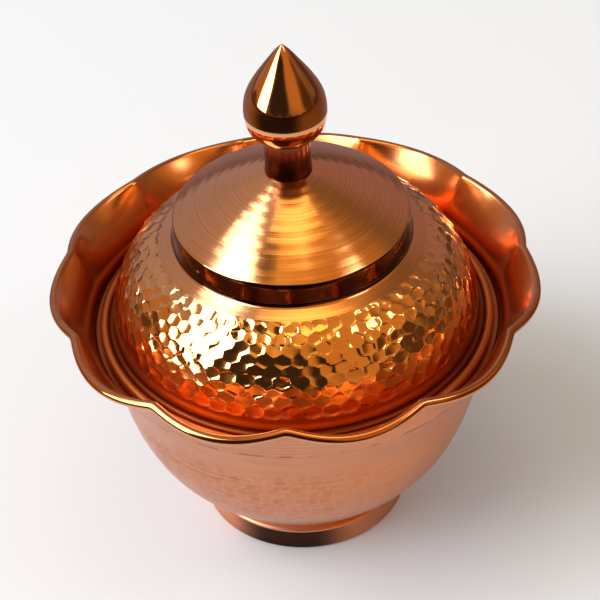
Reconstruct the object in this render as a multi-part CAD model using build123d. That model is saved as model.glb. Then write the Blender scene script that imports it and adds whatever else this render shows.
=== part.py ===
from build123d import *
import math
import os

# A lidded copper sweet bowl: a hammered cup on a spun foot, a flared collar with a scalloped rolled
# rim, and a domed lid with a turned finial. Millimetres. The Z axis is the turning axis, Z = 0 is the
# plane the foot stands on. Every section is drawn as (radius, height).

# Sheet and fits
sheet = 0.8                 # copper sheet, all spun parts
seat_gap = 0.05             # air between the lid's bead and the ledge it sits on
thread_gap = 0.03           # screw to tapped hole, on the radius
spline_spans = 12           # spans of the far side of a curved sheet

# Foot
foot_band_radius = 33.0     # polished vertical band
foot_edge_radius = 33.5     # widest point, at the bottom edge
foot_flat_radius = 29.0     # inner edge of the turned-in resting flange
foot_neck_radius = 29.4     # where the foot meets the cup
foot_edge_height = 2.4      # where the band starts above the edge
foot_shoulder = 7.8         # height of the shoulder above the band
foot_neck_height = 9.4
foot_neck_top = 15.4        # inside the cup, so that the neck is cut to fit the cup
foot_fillets = [0.9, 1.0, 1.2, 1.0]

# Cup
cup_floor = 7.2             # underside of the cup's flat bottom
cup_floor_radius = 20.0
cup_top_radius = 62.2       # outside of the wall where it is soldered under the collar
cup_top_slope = 74.0        # degrees above level, at the top of the wall
cup_trim = 2.0              # extra wall above the top, trimmed off level
cup_side = [(58.5, 58.7), (56.3, 48.7), (53.5, 39.0), (49.2, 29.7), (43.4, 21.8), (36.6, 15.0), (29.6, 10.3)]

# Collar
ledge_height = 71.1         # top of the inner ledge that carries the lid
ledge_inner_radius = 57.6
ledge_outer_radius = 62.2   # where the ledge bends up into the flare
ledge_bend = 0.7            # inside radius of that bend
flare_start = 74.0          # degrees above level, just above the ledge
bead_radius = 1.5           # rolled edge, outside
rim_lobes = 11
rim_cusp = (70.6, 88.2)     # centre of the rolled edge at a cusp between two lobes
rim_lobe = (73.8, 86.1)     # centre of the rolled edge at the middle of a lobe
first_cusp = -93.8          # azimuth of the cusp nearest the front, degrees
rim_curl = 268.0            # turn of the rolled edge
sections_per_lobe = 9

# Lid
screw_hole_radius = 2.25
cap_height = 127.2          # flat seat under the finial
cap_seat_radius = 6.8
cap_shoulder_radius = 2.0   # bend from the seat into the cone
cone_start = -21.0          # degrees, direction of the cone where it leaves the seat
cap_edge = (35.2, 112.3)
cap_lip_radius = 1.1        # round between the cap and the vertical band
step_slope = -87.0          # degrees, direction of the band going down
step_length = 5.9           # polished vertical band below the cap
step_fillet = 1.8           # between the band and the dome
dome_side = [(46.7, 98.3), (51.7, 92.0), (54.8, 85.3), (56.3, 78.9)]
dome_start = -25.0          # degrees, direction of the dome where it leaves the step
dome_base = (56.4, 74.34)
valley_radius = 1.2         # fillet between the dome and its rolled edge
valley_turn = 140.0
lid_curl = 300.0

# Finial and its fixing
finial_tip = 170.4
finial_bulb = [(4.5, 165.0), (9.1, 158.2), (11.7, 152.4), (12.1, 148.2), (10.8, 142.5), (7.1, 138.3)]
finial_waist = (6.5, 133.2)
finial_base_radius = 7.1
finial_collar = 0.6         # small vertical rim at the base
finial_tip_slope = -40.0    # degrees, direction of the outline leaving the tip
finial_under_slope = -165.0  # degrees, direction of the outline under the bulb
screw_radius = 2.0          # M4
screw_length = 10.0
screw_head_radius = 4.0
screw_head_height = 3.1
tapped_depth = 11.0
drill_point = 1.2
screw_head_round = 1.2
washer_inner, washer_outer, washer_thick = 2.15, 4.5, 0.8
spring_inner, spring_outer, spring_thick = 2.05, 3.8, 0.9
spring_split = 20.0         # slant of the cut through the split ring, degrees
spring_split_width = 0.8
recess_width, recess_length, recess_depth = 1.0, 4.4, 1.8

section_plane = Plane.XZ


def heading(degrees):
    return Vector(math.cos(math.radians(degrees)), math.sin(math.radians(degrees)))


def direction_of(vector):
    return math.degrees(math.atan2(vector.Y, vector.X))


def beside(curve, distance):
    """The line, arc or spline that runs at a distance to the right of another."""

    def point(along):
        forward = curve % along
        return curve @ along + distance * Vector(forward.Y, -forward.X)

    if curve.geom_type == GeomType.LINE:
        return Line(point(0), point(1))
    if curve.geom_type == GeomType.CIRCLE:
        return ThreePointArc(point(0), point(0.5), point(1))
    points = [point(i / spline_spans) for i in range(spline_spans + 1)]
    return Spline(points, tangents=[curve % 0, curve % 1])


def sheet_face(path, thickness=sheet):
    """Section of a sheet that follows a path, with its thickness to the path's right."""
    other = [beside(curve, thickness) for curve in path]
    start = Line(path[0] @ 0, other[0] @ 0)
    end = Line(path[-1] @ 1, other[-1] @ 1)
    return make_face([*path, end, *other, start])


def turned(face):
    return revolve(section_plane * face, Axis.Z)


def disc(radius, height, base, hole=0.0):
    ring = Pos(0, 0, base) * Cylinder(radius, height, align=(Align.CENTER, Align.CENTER, Align.MIN))
    if hole:
        ring -= Pos(0, 0, base) * Cylinder(hole, height, align=(Align.CENTER, Align.CENTER, Align.MIN))
    return ring


def cup_outside():
    """Outside of the cup, from the middle of the floor to just above the soldered edge."""
    floor = Line((0, cup_floor), (cup_floor_radius, cup_floor))
    top = (cup_top_radius, ledge_height - sheet)
    side = Spline(floor @ 1, *reversed(cup_side), top, tangents=[heading(0), heading(cup_top_slope)])
    edge = Line(side @ 1, side @ 1 + cup_trim * heading(cup_top_slope))
    return [floor, side, edge]


def above(height):
    """Everything over a level, to trim an edge flat."""
    return disc(2 * rim_lobe[0], finial_tip, height)


def make_cup():
    return turned(sheet_face(cup_outside(), -sheet)) - above(ledge_height - sheet)


def filled_cup():
    """The cup as a solid block, to fit the foot against its outside."""
    outline = cup_outside()
    top = outline[-1] @ 1
    lid_line = Polyline(top, (0, top.Y), (0, cup_floor))
    return turned(make_face([*outline, lid_line]))


def make_foot_ring():
    """A spun ring: neck soldered to the cup, shoulder, polished band and turned-in resting flange."""
    outside = FilletPolyline(
        (foot_flat_radius, 0),
        (foot_edge_radius, 0),
        (foot_band_radius, foot_edge_height),
        (foot_band_radius, foot_shoulder),
        (foot_neck_radius, foot_neck_height),
        (foot_neck_radius, foot_neck_top),
        radius=foot_fillets,
    )
    return turned(sheet_face(outside.edges(), -sheet)) - filled_cup()


def collar_section(lobe):
    """Section of the collar at one azimuth; lobe is 0 at a cusp and 1 at the middle of a lobe.

    The path runs on the inside surface: ledge, bend, flare and rolled edge. The flare is the one arc
    that leaves the bend in its direction and runs smoothly into the rolled edge."""
    ledge = Line((ledge_inner_radius, ledge_height), (ledge_outer_radius, ledge_height))
    bend = JernArc(ledge @ 1, ledge % 1, ledge_bend, flare_start)
    bead = Vector(*rim_cusp) * (1 - lobe) + Vector(*rim_lobe) * lobe
    reach = bend @ 1 - bead
    across = heading(flare_start - 90)
    flare_radius = (bead_radius**2 - reach.length**2) / (2 * reach.dot(across) + 2 * bead_radius)
    flare_centre = bend @ 1 + flare_radius * across
    flare_end = direction_of(bead - flare_centre) - 90
    flare = JernArc(bend @ 1, bend % 1, flare_radius, flare_end - flare_start)
    curl = JernArc(flare @ 1, flare % 1, bead_radius, -rim_curl)
    return sheet_face([ledge, bend, flare, curl])


def radial_plane(azimuth):
    """Plane through the turning axis, with its X outwards at an azimuth and its Y up."""
    out = heading(azimuth)
    return Plane(origin=(0, 0, 0), x_dir=out, z_dir=(out.Y, -out.X, 0))


def make_collar():
    """One lobe is lofted from cusp to cusp, and its copies are joined along the creases."""
    pitch = 360 / rim_lobes
    sections = []
    for i in range(sections_per_lobe):
        u = i / (sections_per_lobe - 1)
        section = collar_section(math.sin(math.pi * u))
        sections.append(radial_plane(first_cusp + u * pitch) * section)
    lobe = loft(sections)
    return Part() + [lobe.rotate(Axis.Z, i * pitch) for i in range(rim_lobes)]


def lid_path():
    """Top of the lid, from the screw hole outwards and down to the rolled edge."""
    seat = Line((screw_hole_radius, cap_height), (cap_seat_radius, cap_height))
    shoulder = JernArc(seat @ 1, seat % 1, cap_shoulder_radius, cone_start)
    cone = TangentArc(shoulder @ 1, cap_edge, tangent=shoulder % 1)
    lip = JernArc(cone @ 1, cone % 1, cap_lip_radius, step_slope - direction_of(cone % 1))
    band = Line(lip @ 1, lip @ 1 + step_length * heading(step_slope))
    foot = JernArc(band @ 1, band % 1, step_fillet, dome_start - step_slope)
    dome = Spline(foot @ 1, *dome_side, dome_base, tangents=[foot % 1, heading(-90)])
    valley = JernArc(dome @ 1, heading(-90), valley_radius, valley_turn)
    curl = JernArc(valley @ 1, valley % 1, bead_radius, -lid_curl)
    return [seat, shoulder, cone, lip, band, foot, dome, valley, curl]


def make_lid_shell():
    return turned(sheet_face(lid_path()))


def make_finial():
    """A solid turned drop with a tapped blind hole from below."""
    tip = (0, finial_tip)
    bulb = Spline(tip, *finial_bulb, tangents=[heading(finial_tip_slope), heading(finial_under_slope)])
    waist = Spline(bulb @ 1, finial_waist, (finial_base_radius, cap_height + finial_collar))
    base = Polyline(waist @ 1, (finial_base_radius, cap_height), (0, cap_height), tip)
    body = turned(make_face([bulb, waist, base]))
    hole = disc(screw_radius, tapped_depth, cap_height)
    hole += Pos(0, 0, cap_height + tapped_depth) * Cone(
        screw_radius, 0, drill_point, align=(Align.CENTER, Align.CENTER, Align.MIN)
    )
    return body - hole


def make_plain_washer(top):
    return disc(washer_outer, washer_thick, top - washer_thick, washer_inner)


def make_spring_washer(top):
    ring = disc(spring_outer, spring_thick, top - spring_thick, spring_inner)
    middle = (spring_inner + spring_outer) / 2
    split = Pos(middle, 0, top - spring_thick / 2) * Rot(0, 0, spring_split) * Box(
        2 * spring_outer - 2 * spring_inner, spring_split_width, 2 * spring_thick
    )
    return ring - split


def make_finial_screw(top):
    """A pan-head screw that comes up from inside the lid; top is where its head bears."""
    head = disc(screw_head_radius, screw_head_height, top - screw_head_height)
    head = fillet(head.edges().group_by(Axis.Z)[0], screw_head_round)
    shank = disc(screw_radius - thread_gap, screw_length, top)
    recess = Pos(0, 0, top - screw_head_height) * (
        Box(recess_length, recess_width, 2 * recess_depth) + Box(recess_width, recess_length, 2 * recess_depth)
    )
    return head + shank - recess


def make_parts():
    under_cap = cap_height - sheet
    under_washer = under_cap - washer_thick
    return {
        "cup": make_cup(),
        "foot_ring": make_foot_ring(),
        "collar": make_collar(),
        "lid_shell": Pos(0, 0, seat_gap) * make_lid_shell(),
        "finial": Pos(0, 0, seat_gap) * make_finial(),
        "plain_washer": Pos(0, 0, seat_gap) * make_plain_washer(under_cap),
        "spring_washer": Pos(0, 0, seat_gap) * make_spring_washer(under_washer),
        "finial_screw": Pos(0, 0, seat_gap) * make_finial_screw(under_washer - spring_thick),
    }


os.makedirs("parts", exist_ok=True)
for name, part in make_parts().items():
    export_step(part, f"parts/{name}.step")
    print(name, round(part.volume), "mm3")
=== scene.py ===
import math
import random

import bpy
import numpy as np
from mathutils import Matrix, Vector


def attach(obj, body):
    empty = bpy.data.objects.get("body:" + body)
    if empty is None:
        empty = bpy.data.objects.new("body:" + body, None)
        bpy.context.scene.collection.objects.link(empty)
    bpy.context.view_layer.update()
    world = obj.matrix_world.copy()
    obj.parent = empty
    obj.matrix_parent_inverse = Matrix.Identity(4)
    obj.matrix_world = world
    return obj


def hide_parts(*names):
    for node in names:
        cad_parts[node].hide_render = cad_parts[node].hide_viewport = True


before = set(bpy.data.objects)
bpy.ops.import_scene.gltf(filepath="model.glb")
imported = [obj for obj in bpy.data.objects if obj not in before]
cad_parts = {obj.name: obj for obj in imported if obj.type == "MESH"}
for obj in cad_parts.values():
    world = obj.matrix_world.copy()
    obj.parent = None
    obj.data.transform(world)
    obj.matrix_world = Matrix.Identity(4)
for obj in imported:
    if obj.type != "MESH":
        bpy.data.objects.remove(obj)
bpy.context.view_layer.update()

scene = bpy.context.scene
mm = 0.001
mergeWithin = 0.002 * mm
creaseAngle = math.radians(40)
chunk = 4000            # vertices measured at a time
quarterTurn = 0.25      # the way of the brushing
print("frame loaded")


# outlines are walked like a pen: (radius, height, heading in degrees), in millimetres

def unit(degrees):
    return np.array([math.cos(math.radians(degrees)), math.sin(math.radians(degrees))])


def headingOf(vector):
    return math.degrees(math.atan2(vector[1], vector[0]))


def distanceAlong(path):
    steps = np.linalg.norm(np.diff(path[:, :2], axis=0), axis=1)
    return np.concatenate([[0], np.cumsum(steps)])


def rowAt(path, along, place):
    # radius, height and heading at a distance along an outline
    return np.array([np.interp(place, along, path[:, j]) for j in range(3)])


def runRows(start, heading, length, count):
    return [(*(start + unit(heading) * length * i / count), heading) for i in range(1, count + 1)]


def bendRows(start, heading, radius, turn, count):
    side = 90 if turn > 0 else -90
    centre = start + radius * unit(heading + side)
    rows = []
    for i in range(1, count + 1):
        now = heading + turn * i / count
        rows.append((*(centre - radius * unit(now + side)), now))
    return rows


def reachRows(start, heading, end, count):
    # the one arc that leaves in the heading and ends at a point
    chord = np.array(end) - start
    turn = 2 * (headingOf(chord) - heading)
    radius = np.linalg.norm(chord) / (2 * abs(math.sin(math.radians(turn / 2))))
    return bendRows(start, heading, radius, turn, count)


def curveRows(start, heading, through, endHeading, count):
    # a smooth curve through points, with its direction set at both ends
    knots = np.array([start, *through])
    marks = distanceAlong(knots)
    gaps = np.diff(marks)
    size = len(knots)
    system = np.eye(size)
    wanted = np.zeros((size, 2))
    wanted[0] = unit(heading)
    wanted[-1] = unit(endHeading)
    for i in range(1, size - 1):
        a, b = gaps[i - 1], gaps[i]
        system[i, i - 1:i + 2] = b, 2 * (a + b), a
        wanted[i] = 3 * (b / a * (knots[i] - knots[i - 1]) + a / b * (knots[i + 1] - knots[i]))
    slopes = np.linalg.solve(system, wanted)
    rows = []
    for along in np.linspace(0, marks[-1], count + 1)[1:]:
        i = min(int(np.searchsorted(marks, along)) - 1, size - 2)
        g = gaps[i]
        t = (along - marks[i]) / g
        spot = (
            (2 * t**3 - 3 * t**2 + 1) * knots[i] + (t**3 - 2 * t**2 + t) * g * slopes[i]
            + (3 * t**2 - 2 * t**3) * knots[i + 1] + (t**3 - t**2) * g * slopes[i + 1]
        )
        way = (
            (6 * t**2 - 6 * t) / g * (knots[i] - knots[i + 1])
            + (3 * t**2 - 4 * t + 1) * slopes[i] + (3 * t**2 - 2 * t) * slopes[i + 1]
        )
        rows.append((*spot, headingOf(way)))
    return rows


def walk(start, heading, strokes):
    path = [(*start, heading)]
    makers = {"run": runRows, "bend": bendRows, "reach": reachRows, "curve": curveRows}
    for kind, *how in strokes:
        x, z, now = path[-1]
        path += makers[kind](np.array([x, z]), now, *how)
    return np.array(path)


def filletStrokes(corners, radii, count):
    # straight runs with a round at each inner corner
    spots = [np.array(c, float) for c in corners]
    ways = [headingOf(b - a) for a, b in zip(spots, spots[1:])]
    lengths = [np.linalg.norm(b - a) for a, b in zip(spots, spots[1:])]
    strokes = []
    used = 0
    for i, radius in enumerate(radii):
        turn = (ways[i + 1] - ways[i] + 180) % 360 - 180
        cut = radius * math.tan(math.radians(abs(turn) / 2))
        strokes.append(("run", lengths[i] - used - cut, 2))
        strokes.append(("bend", radius, turn, count))
        used = cut
    strokes.append(("run", lengths[-1] - used, 2))
    return ways[0], strokes


def sheetLoop(path, depth, farRows=None):
    # the path, then the far side of the sheet back to the start; depth is to the path's right
    rows = path if farRows is None else path[farRows]
    turned = np.radians(rows[:, 2] - 90)
    far = rows[:, :2] + depth * np.stack([np.cos(turned), np.sin(turned)], axis=1)
    return np.concatenate([path[:, :2], far[::-1], path[:1, :2]])


# modelling

def addObject(name, data):
    made = bpy.data.objects.new(name, data)
    scene.collection.objects.link(made)
    return made


def closeMesh():
    bpy.ops.object.mode_set(mode="EDIT")
    bpy.ops.mesh.select_all(action="SELECT")
    bpy.ops.mesh.remove_doubles(threshold=mergeWithin)
    bpy.ops.mesh.normals_make_consistent(inside=False)
    bpy.ops.object.mode_set(mode="OBJECT")
    bpy.ops.object.shade_smooth()


def spinOutline(name, loop, steps):
    # one vertex is extruded along the outline, and the outline is turned round the axis
    bpy.ops.mesh.primitive_plane_add(size=mm)
    piece = bpy.context.object
    piece.name = name
    bpy.ops.object.mode_set(mode="EDIT")
    bpy.ops.mesh.merge(type="CENTER")
    here = Vector((loop[0][0], 0, loop[0][1])) * mm
    bpy.ops.transform.translate(value=here)
    for radius, height in loop[1:]:
        there = Vector((radius, 0, height)) * mm
        bpy.ops.mesh.extrude_region_move(TRANSFORM_OT_translate={"value": there - here})
        here = there
    bpy.ops.object.mode_set(mode="OBJECT")
    bpy.ops.object.modifier_add(type="SCREW")
    turning = piece.modifiers[-1]
    turning.axis = "Z"
    turning.steps = steps
    turning.render_steps = steps
    turning.use_merge_vertices = True
    turning.merge_threshold = mergeWithin
    bpy.ops.object.modifier_apply(modifier=turning.name)
    closeMesh()
    bpy.ops.object.transform_apply(location=True, rotation=True, scale=True)
    return piece


def readSpots(piece):
    spots = np.empty(len(piece.data.vertices) * 3, np.float32)
    piece.data.vertices.foreach_get("co", spots)
    return spots.reshape(-1, 3).astype(float) / mm


def writeSpots(piece, spots):
    piece.data.vertices.foreach_set("co", (spots * mm).astype(np.float32).ravel())
    piece.data.update()


def faceCentres(piece):
    # how far from the axis and how high the middle of each face is
    centres = np.empty(len(piece.data.polygons) * 3, np.float32)
    piece.data.polygons.foreach_get("center", centres)
    centres = centres.reshape(-1, 3).astype(float) / mm
    return np.hypot(centres[:, 0], centres[:, 1]), centres[:, 2]


def nearestRow(spots, rows):
    # which row of an outline each vertex came from
    reach = np.hypot(spots[:, 0], spots[:, 1])
    found = np.empty(len(spots), int)
    for first in range(0, len(spots), chunk):
        part = slice(first, first + chunk)
        gap = (reach[part, None] - rows[:, 0]) ** 2 + (spots[part, 2, None] - rows[:, 1]) ** 2
        found[part] = gap.argmin(axis=1)
    return found


def storeRidge(mesh, values):
    # how near to a ridge between two marks, which the finish lightens as a painted highlight
    mesh.attributes.new("ridge", "FLOAT", "POINT").data.foreach_set("value", values)


def strikes(path, along, hammer):
    # hammer marks in rows round the piece, each row half a mark on from the last
    chance = random.Random(hammer["seed"])
    marks = []
    place = hammer["from"]
    row = 0
    while place < hammer["to"]:
        count = round(2 * math.pi * rowAt(path, along, place)[0] / hammer["pitch"])
        for i in range(count):
            turn = (i + row % 2 / 2 + chance.uniform(-1, 1) * hammer["stray"]) * 2 * math.pi / count
            spot = place + chance.uniform(-1, 1) * hammer["stray"] * hammer["pitch"]
            reach, height, _ = rowAt(path, along, spot)
            centre = (reach * math.cos(turn), reach * math.sin(turn), height)
            tilt = [chance.gauss(0, hammer["tilt"]) for _ in range(3)]
            marks.append((*centre, *tilt, chance.gauss(0, hammer["uneven"])))
        place += hammer["pitch"] * hammer["rowPitch"]
        row += 1
    return np.array(marks)


def hammerSurface(piece, path, hammer):
    # every strike leaves a shallow round dish, and the dishes meet in ridges
    along = distanceAlong(path)
    marks = strikes(path, along, hammer)
    tones = np.random.default_rng(hammer["seed"]).uniform(0, hammer["toneSpread"], len(marks))
    spots = readSpots(piece)
    rows = nearestRow(spots, path)
    reach = np.hypot(spots[:, 0], spots[:, 1])
    onSide = np.hypot(reach - path[rows, 0], spots[:, 2] - path[rows, 1]) < hammer["sameSide"]
    fadeIn = (along[rows] - hammer["from"] + hammer["fade"]) / hammer["fade"]
    fadeOut = (hammer["to"] - along[rows]) / hammer["fade"]
    strength = np.clip(np.minimum(fadeIn, fadeOut), 0, 1) * onSide
    strength = strength**2 * (3 - 2 * strength)
    chosen = np.nonzero(strength > 0)[0]
    ridge = np.full(len(spots), hammer["toneSpread"])
    turned = np.radians(path[rows, 2] - 90)
    around = np.arctan2(spots[:, 1], spots[:, 0])
    flat = np.cos(turned)
    outward = np.stack([flat * np.cos(around), flat * np.sin(around), np.sin(turned)], axis=1)
    soft = hammer["soft"]
    for first in range(0, len(chosen), chunk):
        part = chosen[first:first + chunk]
        apart = spots[part, None, :] - marks[None, :, :3]
        dish = (apart**2).sum(axis=2) / (2 * hammer["radius"])
        dish += (apart * marks[None, :, 3:6]).sum(axis=2) + marks[None, :, 6]
        nearest = np.partition(dish, 1, axis=1)
        lowest = nearest[:, 0] - soft * np.log1p(np.exp((nearest[:, 0] - nearest[:, 1]) / soft))
        edge = np.exp(-(nearest[:, 1] - nearest[:, 0]) / hammer["ridgeWidth"])
        mark = edge + (1 - edge) * tones[dish.argmin(axis=1)]
        ridge[part] += (mark - ridge[part]) * strength[part]
        spots[part] += outward[part] * ((lowest - hammer["sink"]) * strength[part])[:, None]
    writeSpots(piece, spots)
    storeRidge(piece.data, ridge)
    print(piece.name, "hammered with", len(marks), "strikes")


def facetBlows(hammer):
    # each blow's place along and round the sheet, and the lean, roundness and offset of its dish
    chance = random.Random(hammer["seed"])
    blows = {}
    for k in range(-1, hammer["rows"] + 1):
        for i in range(hammer["around"]):
            spot = hammer["from"] + (k + chance.uniform(-1, 1) * hammer["stray"]) * hammer["rowPitch"]
            turn = i + k % 2 / 2 + chance.uniform(-1, 1) * hammer["stray"]
            calm = hammer["calm"] if k >= hammer["calmFrom"] else 1.0
            tilt = calm * np.array([chance.gauss(0, hammer["tilt"]) for _ in range(3)])
            dish = hammer["radius"] * math.exp(chance.gauss(0, hammer["radiusSpread"])) / calm
            blows[k, i] = (spot, turn, tilt, dish, chance.gauss(0, hammer["uneven"]))
    return blows


def facetMesh(path, along, hammer):
    # a staggered lattice of hexagons, each a shallow dish, between two plain rims
    around, rows, split = hammer["around"], hammer["rows"], hammer["split"]
    total = 2 * split * around
    blows = facetBlows(hammer)
    spots, ridge, faces, known = [], [], [], {}

    def spun(reach, height, turn):
        angle = turn * 2 * math.pi / around
        return np.array([reach * math.cos(angle), reach * math.sin(angle), height])

    def surface(place):
        return spun(*rowAt(path, along, place[0])[:2], place[1])

    def outward(place):
        return spun(*unit(rowAt(path, along, place[0])[2] + 90), place[1])

    def blowAt(k, i):
        # a blow's place, with its turn unwrapped
        spot, turn = blows[k, i % around][:2]
        return np.array([spot, turn + i // around * around])

    def depth(place, k, i):
        tilt, dish, offset = blows[k, i % around][2:]
        apart = surface(place) - surface(blowAt(k, i))
        return apart @ apart / (2 * dish) + apart @ tilt + offset - hammer["sink"]

    def point(place, owners, onRidge, key=None):
        # a vertex at the mean depth of the blows that own it, and on the plain sheet outside their rows
        if key in known:
            return known[key]
        struck = all(0 <= k < rows for k, _ in owners)
        rise = np.mean([depth(place, *owner) for owner in owners]) if struck else 0.0
        spots.append(surface(place) + outward(place) * rise)
        ridge.append(onRidge)
        if key:
            known[key] = len(spots) - 1
        return len(spots) - 1

    def corner(kind, k, i):
        # where three blows meet, two of them in row k or in the next
        odd = k % 2
        second = (k, i + 1) if kind == "pairAbove" else (k + 1, i - 1 + odd)
        owners = [(k, i), second, (k + 1, i + odd)]
        return np.mean([blowAt(*owner) for owner in owners], axis=0), owners, (kind, k, i % around)

    upper, lower = {}, {}
    for k in range(rows):
        above, below = (k - 1) % 2, k % 2
        for i in range(around):
            corners = [
                corner("pairAbove", k - 1, i - above), corner("pairBelow", k - 1, i + 1 - above),
                corner("pairAbove", k, i), corner("pairBelow", k, i),
                corner("pairAbove", k, i - 1), corner("pairBelow", k - 1, i - above),
            ]
            neighbours = [
                (k - 1, i + 1 - above), (k, i + 1), (k + 1, i + below),
                (k + 1, i - 1 + below), (k, i - 1), (k - 1, i - above),
            ]
            edge, places = [], []
            for side, neighbour in enumerate(neighbours):
                start, owners, startKey = corners[side]
                end, _, endKey = corners[(side + 1) % len(corners)]
                places.append(start)
                edge.append(point(start, owners, 1.0, startKey))
                for step in range(1, split):
                    order = step if startKey < endKey else split - step
                    key = (*sorted([startKey, endKey]), order)
                    places.append(start + (end - start) * step / split)
                    edge.append(point(places[-1], [(k, i), neighbour], 1.0, key))
            centre = blowAt(k, i)
            outer = edge
            for share in hammer["rings"]:
                inner = [point(centre + (place - centre) * share, [(k, i)], 0.0) for place in places]
                for n in range(len(edge)):
                    after = (n + 1) % len(edge)
                    faces.append((outer[n], outer[after], inner[after], inner[n]))
                outer = inner
            middle = point(centre, [(k, i)], 0.0)
            faces += [(outer[n], outer[(n + 1) % len(edge)], middle) for n in range(len(edge))]
            if k == 0:
                for n in range(-split, split):
                    upper[(2 * i * split + n) % total] = edge[n]
            if k == rows - 1:
                for n in range(2 * split, 4 * split):
                    lower[((2 * i + k % 2 + 3) * split - n) % total] = edge[n]
    kinds = [hammer["facetFinish"]] * len(faces)
    for limit, zigzag, finish in (("top", upper, "plainFinish"), ("bottom", lower, "facetFinish")):
        rim = [point(np.array([hammer[limit], j * around / total]), [(-1, 0)], 0.0) for j in range(total)]
        for j in range(total):
            after = (j + 1) % total
            faces.append((rim[j], rim[after], zigzag[after], zigzag[j]))
        kinds += [hammer[finish]] * total
    return spots, ridge, faces, kinds


def hammeredBand(piece, path, hammer):
    # real facets replace one plain strip of the sheet
    along = distanceAlong(path)
    spots, ridge, faces, kinds = facetMesh(path, along, hammer)
    mesh = bpy.data.meshes.new("facets")
    mesh.from_pydata([tuple(spot * mm) for spot in spots], [], faces)
    storeRidge(mesh, ridge)
    slots = {}
    for number, material in enumerate(piece.data.materials):
        mesh.materials.append(material)
        slots[material.name] = number
    mesh.polygons.foreach_set("material_index", [slots[copper[kind].name] for kind in kinds])
    facets = addObject("facets", mesh)
    strip = np.mean([rowAt(path, along, hammer[limit]) for limit in ("top", "bottom")], axis=0)
    reach, height = faceCentres(piece)
    inStrip = np.hypot(reach - strip[0], height - strip[1]) < hammer["stripReach"]
    bpy.ops.object.select_all(action="DESELECT")
    bpy.context.view_layer.objects.active = piece
    bpy.ops.object.mode_set(mode="EDIT")
    bpy.ops.mesh.select_mode(type="FACE")
    bpy.ops.mesh.select_all(action="DESELECT")
    bpy.ops.object.mode_set(mode="OBJECT")
    piece.data.polygons.foreach_set("select", inStrip)
    bpy.ops.object.mode_set(mode="EDIT")
    bpy.ops.mesh.delete(type="FACE")
    bpy.ops.mesh.select_mode(type="VERT")
    bpy.ops.object.mode_set(mode="OBJECT")
    piece.select_set(True)
    facets.select_set(True)
    bpy.ops.object.join()
    closeMesh()
    print(piece.name, "hammered with", hammer["rows"] * hammer["around"], "facets")


def paintByPlace(piece, names, zones):
    # each face takes the finish of the last zone that it lies in
    for name in names:
        piece.data.materials.append(copper[name])
    reach, height = faceCentres(piece)
    picks = np.zeros(len(reach), np.int32)
    for name, (low, high), (near, far) in zones:
        picks[(height > low) & (height < high) & (reach > near) & (reach < far)] = names.index(name)
    piece.data.polygons.foreach_set("material_index", picks)


def dress(piece, body, slot, *nodes):
    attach(piece, body)
    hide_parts(*nodes)
    print(piece.name, "has", len(piece.data.polygons), "faces")


# finishes: effects that several materials share are node groups

def feed(tree, node, values):
    # an output is linked to the named input, and anything else is set on it
    for label, value in values.items():
        if isinstance(value, bpy.types.NodeSocket):
            tree.links.new(value, node.inputs[label])
        else:
            node.inputs[label].default_value = value
    return node


def addNode(tree, kind, values, **settings):
    node = tree.nodes.new("ShaderNode" + kind)
    for key, value in settings.items():
        setattr(node, key, value)
    return feed(tree, node, values)


def mathNode(tree, operation, *values):
    return addNode(tree, "Math", dict(enumerate(values)), operation=operation).outputs[0]


def vectorNode(tree, operation, *values):
    return addNode(tree, "VectorMath", dict(enumerate(values)), operation=operation).outputs


def noiseNode(tree, vector, scale, detail, roughness=0.5):
    values = {"Vector": vector, "Scale": scale, "Detail": detail, "Roughness": roughness}
    return addNode(tree, "TexNoise", values).outputs[0]


def rangeNode(tree, value, low, high, kind="LINEAR"):
    values = {"Value": value, "From Min": low, "From Max": high}
    return addNode(tree, "MapRange", values, interpolation_type=kind).outputs[0]


def softStep(tree, value, low, high):
    return rangeNode(tree, value, low, high, "SMOOTHSTEP")


def mixColours(tree, mask, below, above):
    values = {"Factor": mask}
    for label, colour in (("A", below), ("B", above)):
        values[label] = (*colour, 1) if isinstance(colour, tuple) else colour
    return addNode(tree, "Mix", values, data_type="RGBA").outputs["Result"]


def axisParts(tree):
    # object coordinates as distance from the turning axis, and height, in millimetres
    place = tree.nodes.new("ShaderNodeTexCoord").outputs["Object"]
    split = addNode(tree, "SeparateXYZ", {0: place}).outputs
    squares = [mathNode(tree, "MULTIPLY", split[i], split[i]) for i in (0, 1)]
    reach = mathNode(tree, "SQRT", mathNode(tree, "ADD", *squares))
    return place, mathNode(tree, "MULTIPLY", reach, 1 / mm), mathNode(tree, "MULTIPLY", split[2], 1 / mm)


def newGroup(name, inputs, outputs):
    # a socket's kind follows from its value: a number, a direction or a colour
    kinds = {1: "NodeSocketFloat", 3: "NodeSocketVector", 4: "NodeSocketColor"}
    group = bpy.data.node_groups.new(name, "ShaderNodeTree")
    for label, value in inputs.items():
        socket = group.interface.new_socket(name=label, in_out="INPUT", socket_type=kinds[np.size(value)])
        socket.default_value = value
    for label in outputs:
        kind = kinds[4 if label == "Color" else 1]
        group.interface.new_socket(name=label, in_out="OUTPUT", socket_type=kind)
    entry = group.nodes.new("NodeGroupInput")
    return group, entry.outputs, group.nodes.new("NodeGroupOutput")


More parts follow.
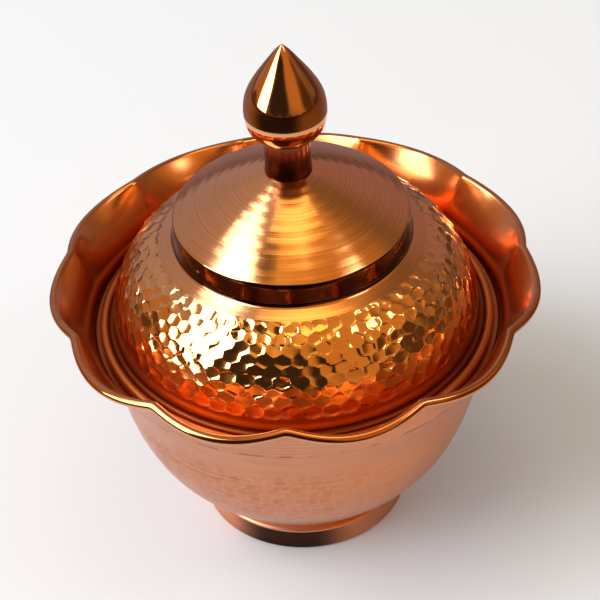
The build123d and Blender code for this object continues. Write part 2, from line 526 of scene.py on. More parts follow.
def turnedLinesGroup():
    # fine rings left by the turning tool, broken up a little round the piece, over broad regular waves
    group, given, leave = newGroup("turnedLines", {
        "Across": 1.0, "Along": 0.0, "Lines Per mm": 2.0, "Break Up": 0.3, "Wave mm": 3.0, "Wave Share": 0.0,
    }, ["Height", "Mask"])
    place, reach, height = axisParts(group)
    climb = mathNode(group, "MULTIPLY", height, given["Along"])
    travel = mathNode(group, "MULTIPLY_ADD", reach, given["Across"], climb)
    waver = noiseNode(group, place, scale=40.0, detail=2.0)
    travel = mathNode(group, "MULTIPLY_ADD", waver, given["Break Up"], travel)
    line = addNode(group, "CombineXYZ", {0: travel}).outputs[0]
    fine = noiseNode(group, line, given["Lines Per mm"], detail=3.0, roughness=0.65)
    turn = mathNode(group, "DIVIDE", mathNode(group, "MULTIPLY", travel, 2 * math.pi), given["Wave mm"])
    total = mathNode(group, "MULTIPLY_ADD", mathNode(group, "SINE", turn), given["Wave Share"], fine)
    feed(group, leave, {"Height": total, "Mask": rangeNode(group, fine, low=0.3, high=0.7)})
    return group


def toneGroup():
    # warm and pale patches in lacquered copper
    group, given, leave = newGroup("copperTone", {
        "Base": (0.9, 0.5, 0.3, 1), "Warm": (0.8, 0.3, 0.1, 1), "Amount": 0.3, "Patch mm": 20.0,
    }, ["Color", "Mask"])
    scale = mathNode(group, "DIVIDE", 1 / mm, given["Patch mm"])
    cloud = noiseNode(group, axisParts(group)[0], scale, detail=4.0, roughness=0.55)
    mask = mathNode(group, "MULTIPLY", rangeNode(group, cloud, low=0.35, high=0.68), given["Amount"])
    feed(group, leave, {"Color": mixColours(group, mask, given["Base"], given["Warm"]), "Mask": mask})
    return group


def handlingGroup():
    # wiping marks and a few hairline scratches in the lacquer
    group, given, leave = newGroup(
        "handlingMarks", {"Low": 0.1, "High": 0.2, "Size mm": 8.0}, ["Roughness", "Height"],
    )
    place = axisParts(group)[0]
    scale = mathNode(group, "DIVIDE", 1 / mm, given["Size mm"])
    smear = noiseNode(group, place, scale, detail=5.0, roughness=0.6)
    roughness = addNode(group, "MapRange", {
        "Value": smear, "From Min": 0.3, "From Max": 0.7, "To Min": given["Low"], "To Max": given["High"],
    })
    stretch = addNode(group, "Mapping", {
        "Vector": place, "Scale": (1.0, 1.0, 0.08), "Rotation": (0.4, 0.9, 0.0),
    })
    hair = noiseNode(group, stretch.outputs[0], scale=2600.0, detail=2.0)
    feed(group, leave, {"Roughness": roughness.outputs[0], "Height": hair})
    return group


def paintedLightByHeightGroup():
    # painted light by height: the tone and the roughness change below a height; it paints shade on the lid's
    # low dome, a dark reflection on the finial's lower half and a paler tone near the foot
    group, given, leave = newGroup("paintedLightByHeight", {
        "Color": (0.9, 0.5, 0.3, 1), "Deep": (0.2, 0.1, 0.05, 1), "Low mm": 0.0, "High mm": 1.0,
        "Roughness": 0.1, "Deep Roughness": 0.1,
    }, ["Color", "Roughness"])
    step = softStep(group, axisParts(group)[2], given["Low mm"], given["High mm"])
    gain = mathNode(group, "SUBTRACT", given["Roughness"], given["Deep Roughness"])
    feed(group, leave, {
        "Color": mixColours(group, step, given["Deep"], given["Color"]),
        "Roughness": mathNode(group, "MULTIPLY_ADD", step, gain, given["Deep Roughness"]),
    })
    return group


def paintedSideLightGroup():
    # painted light: the tone changes towards one side; it paints a dark reflection on the front of the foot's
    # band and a warmer side on the satin copper
    group, given, leave = newGroup("paintedSideLight", {
        "Color": (0.9, 0.5, 0.3, 1), "Side Color": (0.2, 0.1, 0.05, 1), "Towards": (0.0, -1.0, 0.0),
        "Edge": 0.5, "Core": 1.0,
    }, ["Color", "Mask"])
    flat = vectorNode(group, "MULTIPLY", axisParts(group)[0], (1, 1, 0))[0]
    nearness = vectorNode(group, "DOT_PRODUCT", vectorNode(group, "NORMALIZE", flat)[0], given["Towards"])
    step = softStep(group, nearness["Value"], given["Edge"], given["Core"])
    feed(group, leave, {"Color": mixColours(group, step, given["Color"], given["Side Color"]), "Mask": step})
    return group


def seamGroup():
    # a faint dark line at the joint at one height, darker where the joint is nicked, which also paints the
    # narrow shadow under the lap's edge
    group, given, leave = newGroup("seamLine", {
        "Color": (0.9, 0.5, 0.3, 1), "Line": (0.1, 0.05, 0.03, 1), "Height mm": 0.0, "Width mm": 0.4,
        "Faint": 0.25,
    }, ["Color", "Mask"])
    wander, narrowest = 0.5, 0.7        # in millimetres, and as a share of the width
    place, _, height = axisParts(group)
    waver = mathNode(group, "SUBTRACT", noiseNode(group, place, scale=60.0, detail=3.0), 0.5)
    level = mathNode(group, "MULTIPLY_ADD", waver, wander, height)
    away = mathNode(group, "ABSOLUTE", mathNode(group, "SUBTRACT", level, given["Height mm"]))
    nick = rangeNode(group, noiseNode(group, place, scale=110.0, detail=2.0), low=0.50, high=0.56)
    width = mathNode(group, "MULTIPLY", mathNode(group, "ADD", nick, narrowest), given["Width mm"])
    near = mathNode(group, "SUBTRACT", 1.0, mathNode(group, "DIVIDE", away, width))
    line = mathNode(group, "MAXIMUM", near, 0.0)
    mask = mathNode(group, "MULTIPLY", line, mathNode(group, "MAXIMUM", nick, given["Faint"]))
    feed(group, leave, {"Color": mixColours(group, mask, given["Color"], given["Line"]), "Mask": mask})
    return group


groups = {
    "lines": turnedLinesGroup(), "tone": toneGroup(), "marks": handlingGroup(),
    "fade": paintedLightByHeightGroup(), "side": paintedSideLightGroup(), "seam": seamGroup(),
}


def placeGroup(tree, key, values):
    return addNode(tree, "Group", values, node_tree=groups[key])


def newMaterial(name):
    material = bpy.data.materials.new(name)
    material.use_nodes = True
    return material, material.node_tree, material.node_tree.nodes["Principled BSDF"]


def bumpNode(tree, depth, values):
    return addNode(tree, "Bump", {"Distance": depth * mm, **values}).outputs[0]


def copperFinish(name, finish):
    material, tree, shader = newMaterial(name)
    tone = placeGroup(tree, "tone", {
        "Base": (*finish["copper"], 1), "Warm": (*finish["warm"], 1),
        "Amount": finish["patches"], "Patch mm": finish["patchSize"],
    })
    marks = placeGroup(tree, "marks", {
        "Low": finish["roughness"][0], "High": finish["roughness"][1], "Size mm": finish["smearSize"],
    })
    colour, roughness = tone.outputs["Color"], marks.outputs["Roughness"]
    relief = bumpNode(tree, finish.get("scratchDepth", 0.001), {"Height": marks.outputs["Height"]})
    if "lines" in finish:
        lines = placeGroup(tree, "lines", finish["lines"]).outputs
        if "lineTint" in finish:
            colour = mixColours(tree, lines["Mask"], finish["lineTint"], colour)
        relief = bumpNode(tree, finish["lineDepth"], {"Height": lines["Height"], "Normal": relief})
    # painted light by height and by side, and the seam's dark line with its painted shadow
    for key in ("fade", "side", "seam"):
        if key in finish:
            step = placeGroup(tree, key, {**finish[key], "Color": colour})
            colour = step.outputs["Color"]
            if key == "fade":
                feed(tree, step, {"Roughness": roughness})
                roughness = step.outputs["Roughness"]
    # painted highlight: near a ridge between hammer marks the colour is lightened, partly standing for polish
    # worn on the ridges; the cup's strikes are also lightened by a random amount each
    if "ridges" in finish:
        ridge = tree.nodes.new("ShaderNodeAttribute")
        ridge.attribute_name = "ridge"
        share = mathNode(tree, "MULTIPLY", ridge.outputs["Fac"], finish["ridges"])
        colour = mixColours(tree, share, colour, finish["ridgeHighlightTint"])
    feed(tree, shader, {
        "Base Color": colour, "Metallic": 1.0, "Roughness": roughness, "Normal": relief,
        "Coat Weight": finish["lacquer"], "Coat Roughness": finish.get("lacquerRoughness", 0.2),
        "Anisotropic": finish.get("brushed", 0.0), "Anisotropic Rotation": quarterTurn,
    })
    return material


# the side towards which the painted warmer tone of the satin copper grows
rightSide = (0.95, -0.3, 0.0)
finishes = {
    "turned": {
        "copper": (0.92, 0.48, 0.21), "warm": (0.88, 0.40, 0.15), "patches": 0.3, "patchSize": 18,
        "roughness": (0.13, 0.17), "smearSize": 7, "lacquer": 0.1, "lacquerRoughness": 0.12,
        "brushed": 0.75, "lineDepth": 0.028, "lineTint": (0.70, 0.31, 0.12),
        "lines": {
            "Across": 1.0, "Along": 0.5, "Lines Per mm": 2.5, "Break Up": 0.5,
            "Wave mm": 2.4, "Wave Share": 0.6,
        },
    },
    # painted dark reflection: the lid's band is given a near-black copper in place of the dark surroundings
    # it mirrors
    "paintedReflectionBand": {
        "copper": (0.16, 0.06, 0.032), "warm": (0.035, 0.012, 0.008), "patches": 0.9, "patchSize": 12,
        "roughness": (0.05, 0.09), "smearSize": 9, "lacquer": 0.4, "lacquerRoughness": 0.04,
    },
    "footBand": {
        "copper": (0.72, 0.31, 0.16), "warm": (0.60, 0.22, 0.09), "patches": 0.8, "patchSize": 12,
        "roughness": (0.10, 0.18), "smearSize": 9, "lacquer": 0.05, "lacquerRoughness": 0.05,
        # painted dark reflection: the foot's band turns near-black towards the front, in place of the dark
        # surroundings it mirrors
        "side": {
            "Side Color": (0.05, 0.018, 0.012, 1), "Towards": (-0.2, -0.98, 0.0), "Edge": 0.78, "Core": 0.98,
        },
    },
    "hammered": {
        "copper": (0.90, 0.46, 0.17), "warm": (0.84, 0.34, 0.09), "patches": 0.4, "patchSize": 14,
        "roughness": (0.06, 0.11), "smearSize": 6, "lacquer": 0.1, "lacquerRoughness": 0.06,
        # painted highlight along the ridges of the facets, partly polish worn on them
        "ridges": 0.5, "ridgeHighlightTint": (0.97, 0.62, 0.36),
        # painted shade: the dome turns a deeper red and rougher below 91 mm, for the shade and the collar's
        # reflection down in the bowl
        "fade": {"Deep": (0.60, 0.21, 0.055, 1), "Low mm": 80.0, "High mm": 91.0, "Deep Roughness": 0.27},
    },
    "mirror": {
        "copper": (0.74, 0.34, 0.15), "warm": (0.64, 0.25, 0.09), "patches": 0.25, "patchSize": 12,
        "roughness": (0.04, 0.07), "smearSize": 8, "lacquer": 0.1, "lacquerRoughness": 0.04,
        # painted dark reflection: the finial's lower half turns dark brown below 147 mm
        "fade": {"Deep": (0.24, 0.065, 0.025, 1), "Low mm": 138.0, "High mm": 147.0, "Deep Roughness": 0.16},
    },
    "burnished": {
        "copper": (0.80, 0.33, 0.115), "warm": (0.72, 0.25, 0.07), "patches": 0.5, "patchSize": 22,
        "roughness": (0.16, 0.27), "smearSize": 10, "lacquer": 0.35, "lacquerRoughness": 0.25,
        "scratchDepth": 0.003, "lineDepth": 0.010,
        "lines": {"Across": 0.4, "Along": 1.0, "Lines Per mm": 1.2, "Break Up": 0.6},
    },
    # painted shade: a deeper, darker and rougher copper on the lid below 78.6 mm, down in the collar
    "paintedShadeRecess": {
        "copper": (0.64, 0.22, 0.05), "warm": (0.56, 0.16, 0.03), "patches": 0.5, "patchSize": 16,
        "roughness": (0.26, 0.34), "smearSize": 9, "lacquer": 0.02, "lacquerRoughness": 0.15,
        "scratchDepth": 0.002,
    },
    # painted shade: a near-black copper in the valley at the foot of the lid's dome
    "paintedShadeGroove": {
        "copper": (0.20, 0.045, 0.010), "warm": (0.15, 0.030, 0.007), "patches": 0.5, "patchSize": 16,
        "roughness": (0.36, 0.44), "smearSize": 9, "lacquer": 0.0, "scratchDepth": 0.002,
    },
    # painted shade: a dark, rough copper on the collar's ledge and bend under the lid's rim
    "ledge": {
        "copper": (0.36, 0.11, 0.035), "warm": (0.30, 0.08, 0.02), "patches": 0.5, "patchSize": 16,
        "roughness": (0.30, 0.38), "smearSize": 9, "lacquer": 0.05, "scratchDepth": 0.002,
    },
    "bead": {
        "copper": (0.68, 0.27, 0.10), "warm": (0.54, 0.18, 0.06), "patches": 0.6, "patchSize": 10,
        "roughness": (0.07, 0.13), "smearSize": 6, "lacquer": 0.2, "lacquerRoughness": 0.06,
        "scratchDepth": 0.002,
    },
    "satin": {
        "copper": (0.66, 0.265, 0.112), "warm": (0.56, 0.19, 0.07), "patches": 0.4, "patchSize": 24,
        "roughness": (0.30, 0.40), "smearSize": 12, "lacquer": 0.08, "scratchDepth": 0.004,
        # painted highlight along the ridges of the dimples, with a random lighter tone per strike
        "ridges": 0.9, "ridgeHighlightTint": (0.68, 0.30, 0.165), "lineDepth": 0.008, "lineTint": (0.38, 0.115, 0.045),
        "lines": {"Across": 0.5, "Along": 1.0, "Lines Per mm": 0.7, "Break Up": 2.0},
        # painted light: the belly and foot turn warmer and more orange towards the right, for the warmer
        # light on that side
        "side": {"Side Color": (0.80, 0.25, 0.07, 1), "Towards": rightSide, "Edge": 0.1, "Core": 0.95},
        # painted light: the satin copper turns paler below 17 mm, lifting the shade of the crease above the
        # foot
        "fade": {"Deep": (0.76, 0.36, 0.21, 1), "Low mm": 10.0, "High mm": 17.0, "Deep Roughness": 0.4},
    },
    "collarSatin": {
        "copper": (0.72, 0.315, 0.16), "warm": (0.62, 0.23, 0.10), "patches": 0.5, "patchSize": 20,
        "roughness": (0.28, 0.38), "smearSize": 12, "lacquer": 0.08, "scratchDepth": 0.004,
        "lineDepth": 0.006, "lineTint": (0.46, 0.165, 0.08),
        "lines": {"Across": 0.3, "Along": 1.0, "Lines Per mm": 0.8, "Break Up": 1.5},
        # painted light: the collar's outside turns warmer and more orange towards the right, for the warmer
        # light on that side
        "side": {"Side Color": (0.86, 0.28, 0.085, 1), "Towards": rightSide, "Edge": 0.1, "Core": 0.95},
        # a dark joint line, which also paints the narrow shadow under the lap's edge
        "seam": {"Line": (0.14, 0.045, 0.025, 1), "Height mm": 71.0, "Width mm": 0.7, "Faint": 0.3},
    },
}
copper = {name: copperFinish(name + "Copper", finish) for name, finish in finishes.items()}
print("finishes made")


# lid shell

lid = {
    "lift": 0.05, "sheet": 0.8,
    # strokes as walk takes them, each ending in its number of points
    "hole": (2.25, 127.2), "cap": [("run", 4.55, 1), ("bend", 2.0, -21.0, 5), ("reach", (35.2, 112.3), 16)],
    "lip": 1.1, "lipSteps": 7, "stepSlope": -87.0,
    "side": [
        ("run", 5.9, 2), ("bend", 1.8, 62.0, 7),
        ("curve", [(46.7, 98.3), (51.7, 92.0), (54.8, 85.3), (56.3, 78.9), (56.4, 74.34)], -90.0, 60),
        ("bend", 1.2, 140.0, 9), ("bend", 1.5, -300.0, 20),
    ],
    "coarse": (45.0, 80.0), "coarseStep": 3,    # the stretch of the inside that needs fewer points
    "finishes": ("turned", "paintedReflectionBand", "hammered", "paintedShadeRecess", "paintedShadeGroove"),
    "zones": [      # heights and distances from the axis, later ones over earlier ones
        ("hammered", (0.0, 200.0), (0.0, 100.0)),
        ("turned", (111.7, 200.0), (0.0, 100.0)),
        ("paintedReflectionBand", (104.6, 112.0), (34.0, 36.8)),
        ("turned", (102.5, 104.6), (0.0, 100.0)),
        ("paintedShadeRecess", (0.0, 78.6), (0.0, 100.0)),
        ("paintedShadeGroove", (0.0, 75.0), (0.0, 58.6)),
    ],
    "hammer": {     # places along the sheet from the screw hole, in millimetres
        "seed": 7, "around": 62, "rows": 9, "split": 3, "from": 51.6, "rowPitch": 3.1, "stray": 0.12,
        "top": 48.9, "bottom": 79.3, "rimGap": 0.2, "stripReach": 0.5, "radius": 18.0, "radiusSpread": 0.25,
        "tilt": 0.045, "uneven": 0.014, "sink": 0.15, "rings": (0.88, 0.5),
        "calm": 0.6, "calmFrom": 7, "facetFinish": "hammered", "plainFinish": "turned",
    },
}


def lidPath():
    # the lip turns from the cap's last slope to the step's
    capSlope = walk(lid["hole"], 0.0, lid["cap"])[-1][2]
    lip = ("bend", lid["lip"], lid["stepSlope"] - capSlope, lid["lipSteps"])
    path = walk(lid["hole"], 0.0, [*lid["cap"], lip, *lid["side"]])
    path[:, 1] += lid["lift"]
    return path


def makeLidShell():
    # the outside has no points in the strip that the facets take, and the inside fewer points
    path = lidPath()
    hammer = lid["hammer"]
    along = distanceAlong(path)
    rims = [rowAt(path, along, hammer[limit]) for limit in ("top", "bottom")]
    above = along < hammer["top"] - hammer["rimGap"]
    below = along > hammer["bottom"] + hammer["rimGap"]
    outside = np.concatenate([path[above], rims, path[below]])
    start, end = lid["coarse"]
    middle = path[(along >= start) & (along < end)][::lid["coarseStep"]]
    inside = np.concatenate([path[along < start], middle, path[along >= end]])
    loop = np.concatenate([outside[:, :2], sheetLoop(inside, lid["sheet"])[len(inside):]])
    shell = spinOutline("lidShell", loop, 2 * hammer["split"] * hammer["around"])
    paintByPlace(shell, lid["finishes"], lid["zones"])
    hammeredBand(shell, path, hammer)
    dress(shell, "lid", "lid_copper", "lid_shell")


makeLidShell()


# finial

finial = {
    "spin": 128, "tip": (0.0, 170.4), "tipSlope": -40.0, "underSlope": -165.0, "bulbSteps": 72,
    "bulb": [(4.5, 165.0), (9.1, 158.2), (11.7, 152.4), (12.1, 148.2), (10.8, 142.5), (7.0, 139.6)],
    "neck": [(6.9, 133.6), (7.1, 127.8)], "neckSlopes": (-90.0, -80.0), "neckSteps": 20,
    "seat": 127.2, "hole": (2.0, 138.2), "holeEnd": 139.4,
}


def makeFinial():
    bulb = walk(finial["tip"], finial["tipSlope"], [
        ("curve", finial["bulb"], finial["underSlope"], finial["bulbSteps"]),
    ])
    slope, endSlope = finial["neckSlopes"]
    neck = walk(bulb[-1][:2], slope, [("curve", finial["neck"], endSlope, finial["neckSteps"])])
    under = [
        (finial["neck"][-1][0], finial["seat"]), (finial["hole"][0], finial["seat"]),
        finial["hole"], (0.0, finial["holeEnd"]),
    ]
    outline = np.concatenate([bulb[:, :2], neck[1:, :2], under])
    outline[:, 1] += lid["lift"]
    knob = spinOutline("finialKnob", outline, finial["spin"])
    bpy.ops.object.shade_smooth_by_angle(angle=creaseAngle)
    knob.data.materials.append(copper["mirror"])
    dress(knob, "lid", "mirror_copper", "finial")


makeFinial()


# cup

cup = {
    "sheet": 0.8, "spin": 448, "insideStep": 3, "start": (0.0, 7.2),
    "strokes": [("run", 20.0, 12), ("curve", [
        (29.6, 10.3), (36.6, 15.0), (43.4, 21.8), (49.2, 29.7), (53.5, 39.0), (56.3, 48.7), (58.5, 58.7),
        (62.2, 70.3),
    ], 74.0, 90)],
    "hammer": {
        "seed": 21, "from": 33.0, "to": 91.0, "pitch": 3.6, "rowPitch": 0.87, "stray": 0.14,
        "radius": 25.0, "tilt": 0.015, "uneven": 0.01, "soft": 0.02, "ridgeWidth": 0.035,
        "fade": 6.0, "sink": 0.06, "toneSpread": 0.6, "sameSide": 0.02,
    },
}


def makeCup():
    path = walk(cup["start"], 0.0, cup["strokes"])
    loop = sheetLoop(path, -cup["sheet"], np.arange(0, len(path), cup["insideStep"]))[:-1]
    body = spinOutline("cupBody", loop, cup["spin"])
    hammerSurface(body, path, cup["hammer"])
    body.data.materials.append(copper["satin"])
    dress(body, "bowl", "hammered_copper", "cup")


makeCup()


# collar with its scalloped rolled rim

collar = {
    "sheet": 0.8, "lobes": 11, "stepsPerLobe": 32, "firstCusp": -93.8, "cuspRound": 0.05,
    "ledge": (57.6, 71.1), "ledgeRun": 4.6, "ledgeBend": 0.7, "flareStart": 74.0,
    "cusp": (70.6, 88.2), "lobe": (73.8, 86.1), "bead": 1.5, "curl": -268.0,
    "ledgeSteps": (4, 8), "flareSteps": 22, "rimSteps": 24, "sections": 8, "drawIn": 0.02,
    "finishes": ("ledge", "burnished", "bead", "collarSatin"),
}


def collarPath(lobe):
    # the section at one azimuth; lobe is 0 at a cusp and 1 in the middle of a lobe
    runSteps, bendSteps = collar["ledgeSteps"]
    start = walk(collar["ledge"], 0.0, [
        ("run", collar["ledgeRun"], runSteps),
        ("bend", collar["ledgeBend"], collar["flareStart"], bendSteps),
    ])
    foot = start[-1][:2]
    bead = np.array(collar["cusp"]) * (1 - lobe) + np.array(collar["lobe"]) * lobe
    reach = foot - bead
    across = unit(collar["flareStart"] - 90)
    radius = (collar["bead"]**2 - reach @ reach) / (2 * reach @ across + 2 * collar["bead"])
    turn = headingOf(bead - foot - radius * across) - 90 - collar["flareStart"]
    rim = walk(foot, collar["flareStart"], [
        ("bend", radius, turn, collar["flareSteps"]),
        ("bend", collar["bead"], collar["curl"], collar["rimSteps"]),
    ])
    return np.concatenate([start, rim[1:]])


def paintCollar(ring, rows, inner):
    # the ledge, the inside, the bead and the outside follow each other along the outline
    starts = np.empty(len(ring.data.polygons), np.int32)
    ring.data.polygons.foreach_get("loop_start", starts)
    corners = np.empty(len(ring.data.loops), np.int32)
    ring.data.loops.foreach_get("vertex_index", corners)
    lowest = np.minimum.reduceat(rows[corners], starts)
    for name in collar["finishes"]:
        ring.data.materials.append(copper[name])
    limits = [sum(collar["ledgeSteps"]), inner - collar["rimSteps"], inner + collar["rimSteps"]]
    picks = np.searchsorted(limits, lowest, "right").astype(np.int32)
    ring.data.polygons.foreach_set("material_index", picks)


def makeCollar():
    # a plain ring is spun, and each vertex moves to the section of its azimuth
    plain = sheetLoop(collarPath(0.0), collar["sheet"])
    ring = spinOutline("scallopedCollar", plain, collar["lobes"] * collar["stepsPerLobe"])
    spots = readSpots(ring)
    rows = nearestRow(spots, plain)
    around = np.arctan2(spots[:, 1], spots[:, 0])
    phase = (around - math.radians(collar["firstCusp"])) * collar["lobes"] / 2
    lobe = np.sqrt(np.sin(phase) ** 2 + collar["cuspRound"] ** 2) / math.sqrt(1 + collar["cuspRound"] ** 2)
    count = collar["sections"]
    shapes = np.array([
        sheetLoop(collarPath(level), collar["sheet"]) for level in np.linspace(0, 1, count + 1)
    ])
    below = np.minimum((lobe * count).astype(int), count - 1)
    share = (lobe * count - below)[:, None]
    section = shapes[below, rows] * (1 - share) + shapes[below + 1, rows] * share
    section[:, 0] -= collar["drawIn"]
    spots[:, 0] = section[:, 0] * np.cos(around)
    spots[:, 1] = section[:, 0] * np.sin(around)
    spots[:, 2] = section[:, 1]
    writeSpots(ring, spots)
    paintCollar(ring, rows, len(plain) // 2)
    dress(ring, "bowl", "burnished_copper", "collar")


makeCollar()


# foot ring

foot = {
    "sheet": 0.8, "spin": 256,
    "corners": [(29.0, 0.0), (33.5, 0.0), (33.0, 2.4), (33.0, 7.8), (29.4, 9.4), (29.4, 10.3)],
    "rounds": [0.9, 1.0, 1.2, 0.2], "roundSteps": 8,
    "finishes": ("satin", "footBand"), "zones": [("footBand", (-1.0, 7.2), (0.0, 100.0))],
}


def makeFoot():
    heading, strokes = filletStrokes(foot["corners"], foot["rounds"], foot["roundSteps"])
    path = walk(foot["corners"][0], heading, strokes)
    ring = spinOutline("footRing", sheetLoop(path, -foot["sheet"]), foot["spin"])
    bpy.ops.object.shade_smooth_by_angle(angle=creaseAngle)
    paintByPlace(ring, foot["finishes"], foot["zones"])
    dress(ring, "bowl", "polished_copper", "foot_ring")


makeFoot()
print("pieces made")


# screw and washers keep their solids

def steelFinish():
    material, tree, shader = newMaterial("zincSteel")
    marks = placeGroup(tree, "marks", {"Low": 0.22, "High": 0.38, "Size mm": 2.0})
    tone = placeGroup(tree, "tone", {
        "Base": (0.66, 0.66, 0.64, 1), "Warm": (0.60, 0.56, 0.45, 1), "Amount": 0.4, "Patch mm": 3.0,
    })
    feed(tree, shader, {
        "Base Color": tone.outputs["Color"], "Metallic": 1.0, "Roughness": marks.outputs["Roughness"],
    })
    return material


steel = steelFinish()
for node in ("finial_screw", "plain_washer", "spring_washer"):
    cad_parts[node].data.materials.clear()
    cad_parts[node].data.materials.append(steel)


# stage, light and camera; azimuths are from +X and elevations seen from the object, in degrees

studio = {
    "floorSize": 20.0, "floorColour": (0.785, 0.80, 0.80), "floorRoughness": 0.85,
    "lookAt": (0.0, 0.0, 0.1),
    "lamps": {      # sizes and distances in metres
        "window": {"azimuth": -159, "elevation": 32, "distance": 2.7, "size": (1.60, 3.0), "radiance": 5.4,
                   "colour": (0.96, 0.98, 1.06)},
        "skylight": {"azimuth": 178, "elevation": 59, "distance": 2.4, "size": (1.20, 0.75), "radiance": 4.7,
                     "colour": (0.96, 0.97, 1.02)},
        "ceiling": {"azimuth": 60, "elevation": 86, "distance": 1.6, "size": (0.74, 0.74), "radiance": 1.8,
                    "colour": (1.0, 0.70, 0.26)},
        "spot": {"azimuth": -22, "elevation": 50, "distance": 1.5, "size": (0.38, 0.32), "radiance": 4.5,
                 "colour": (1.0, 0.92, 0.84)},
    },
    # a dark mat round the object on the pale floor, which only the polished metal sees
    "mat": {
        "inner": 0.21, "outer": 14.0, "height": 0.0005, "steps": 72, "roughness": 0.9,
        "base": (0.20, 0.10, 0.04),
        "patches": {
            "front": {"azimuth": -115, "elevation": 0, "core": 35, "edge": 80,
                      "colour": (0.02, 0.012, 0.008)},
            "back": {"azimuth": 95, "elevation": 0, "core": 45, "edge": 80, "colour": (0.24, 0.16, 0.16)},
        },
    },
}
room = {        # its colour by direction: a base, soft round patches over it, and a ragged dark horizon
    "base": (0.24, 0.15, 0.08),
    "patches": {
        "overhead": {"azimuth": -90, "elevation": 76, "core": 20, "edge": 40, "colour": (0.92, 0.55, 0.16)},
        "wall": {"azimuth": -40, "elevation": 38, "core": 22, "edge": 52, "colour": (0.64, 0.32, 0.085)},
        "sweep": {"azimuth": 115, "elevation": 20, "core": 25, "edge": 65, "colour": (0.42, 0.36, 0.44)},
        "loft": {"azimuth": 140, "elevation": 58, "core": 10, "edge": 36, "colour": (0.50, 0.40, 0.40)},
        "right": {"azimuth": 60, "elevation": 10, "core": 10, "edge": 40, "colour": (0.34, 0.21, 0.22)},
        "left": {"azimuth": 174, "elevation": 14, "core": 9, "edge": 30, "colour": (0.50, 0.25, 0.09)},
        "shade": {"azimuth": -108, "elevation": 18, "core": 21, "edge": 34, "colour": (0.04, 0.03, 0.02)},
        "door": {"azimuth": -20, "elevation": 12, "core": 8, "edge": 24, "colour": (0.10, 0.055, 0.025)},
        "gap": {"azimuth": -146, "elevation": 71, "core": 5, "edge": 8, "colour": (0.05, 0.03, 0.01)},
    },
    "horizon": {"colour": (0.11, 0.06, 0.035), "core": 2, "edge": 5, "ragged": 0.8, "scale": 3.2},
    "plain": (0.44, 0.44, 0.44),    # what the floor gathers from the room
}


def towards(azimuth, elevation):
    flat = math.cos(math.radians(elevation))
    turn = math.radians(azimuth)
    return Vector((flat * math.cos(turn), flat * math.sin(turn), math.sin(math.radians(elevation))))


def makeFloor():
    bpy.ops.mesh.primitive_plane_add(size=studio["floorSize"])
    ground = bpy.context.object
    ground.name = "paleFloor"
    material, tree, shader = newMaterial("paleFloor")
    feed(tree, shader, {"Base Color": (*studio["floorColour"], 1), "Roughness": studio["floorRoughness"]})
    ground.data.materials.append(material)


def patchColours(tree, way, place):
    colour = place["base"]
    for patch in place["patches"].values():
        middle = towards(patch["azimuth"], patch["elevation"])
        nearness = vectorNode(tree, "DOT_PRODUCT", way, middle)["Value"]
        edge, core = (math.cos(math.radians(patch[key])) for key in ("edge", "core"))
        colour = mixColours(tree, softStep(tree, nearness, edge, core), colour, patch["colour"])
    return colour


def makeMat():
    mat = studio["mat"]
    count = mat["steps"]
    turns = np.radians(np.linspace(0, 360, count, endpoint=False))
    spots = [
        (radius * math.cos(turn), radius * math.sin(turn), mat["height"])
        for radius in (mat["inner"], mat["outer"]) for turn in turns
    ]
    faces = [(count + i, count + (i + 1) % count, (i + 1) % count, i) for i in range(count)]
    mesh = bpy.data.meshes.new("darkMat")
    mesh.from_pydata(spots, [], faces)
    material, tree, shader = newMaterial("darkMat")
    place = tree.nodes.new("ShaderNodeTexCoord").outputs["Object"]
    way = vectorNode(tree, "NORMALIZE", place)[0]
    feed(tree, shader, {
        "Base Color": patchColours(tree, way, mat), "Roughness": mat["roughness"], "Specular IOR Level": 0.0,
    })
    mesh.materials.append(material)
    sheet = addObject("darkMat", mesh)
    sheet.visible_camera = False
    sheet.visible_diffuse = False
    sheet.visible_shadow = False


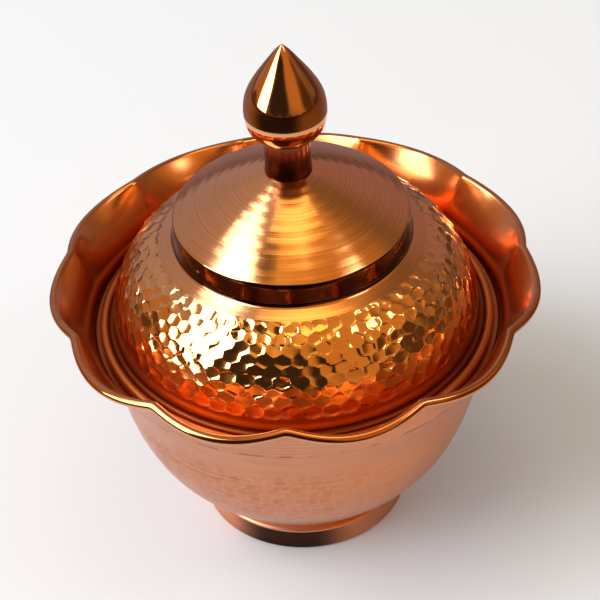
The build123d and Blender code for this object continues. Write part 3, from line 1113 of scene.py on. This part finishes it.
def makeRoom():
    world = bpy.data.worlds.new("studioRoom")
    scene.world = world
    world.use_nodes = True
    tree = world.node_tree
    horizon = room["horizon"]
    way = tree.nodes.new("ShaderNodeTexCoord").outputs["Generated"]
    colour = patchColours(tree, way, room)
    height = addNode(tree, "SeparateXYZ", {0: way}).outputs[2]
    uneven = mathNode(tree, "SUBTRACT", noiseNode(tree, way, horizon["scale"], detail=3.0), 0.5)
    level = mathNode(tree, "MULTIPLY_ADD", uneven, horizon["ragged"], height)
    low, high = (math.sin(math.radians(horizon[key])) for key in ("core", "edge"))
    colour = mixColours(tree, softStep(tree, level, low, high), horizon["colour"], colour)
    diffuse = tree.nodes.new("ShaderNodeLightPath").outputs["Is Diffuse Ray"]
    feed(tree, tree.nodes["Background"], {"Color": mixColours(tree, diffuse, colour, room["plain"])})


def makeLamps():
    middle = Vector(studio["lookAt"])
    for name, lamp in studio["lamps"].items():
        light = bpy.data.lights.new(name, "AREA")
        light.shape = "RECTANGLE"
        light.size, light.size_y = lamp["size"]
        light.energy = lamp["radiance"] * math.pi * light.size * light.size_y
        light.color = lamp["colour"]
        holder = addObject(name, light)
        holder.location = middle + lamp["distance"] * towards(lamp["azimuth"], lamp["elevation"])
        holder.rotation_euler = (middle - holder.location).to_track_quat("-Z", "Y").to_euler()
        holder.visible_camera = False


camera = {
    "aim": (1.23, -9.98), "aimHeight": 89.7, "elevation": 39.17, "distance": 600.0, "roll": 3.14,
    "focus": 1961.7, "picture": 600.0, "sensor": 36.0, "nearest": 0.01,
}


def makeCamera():
    # the aim is how far right and up of the rim's centre the picture's middle looks
    away = towards(-90, camera["elevation"])
    right, up = camera["aim"]
    aim = Vector((right, away.z * up, -away.y * up))
    place = away * camera["distance"]
    turned = (aim - place).to_track_quat("-Z", "Y").to_matrix().to_4x4()
    place.z += camera["aimHeight"]
    view = bpy.data.cameras.new("view")
    view.sensor_width = camera["sensor"]
    view.lens = camera["focus"] / camera["picture"] * camera["sensor"]
    view.clip_start = camera["nearest"]
    holder = addObject("view", view)
    roll = Matrix.Rotation(math.radians(-camera["roll"]), 4, "Z")
    holder.matrix_world = Matrix.Translation(place * mm) @ turned @ roll
    scene.camera = holder


makeFloor()
makeMat()
makeRoom()
makeLamps()
makeCamera()
scene.view_settings.view_transform = "Standard"
print("stage, lamps and camera made")
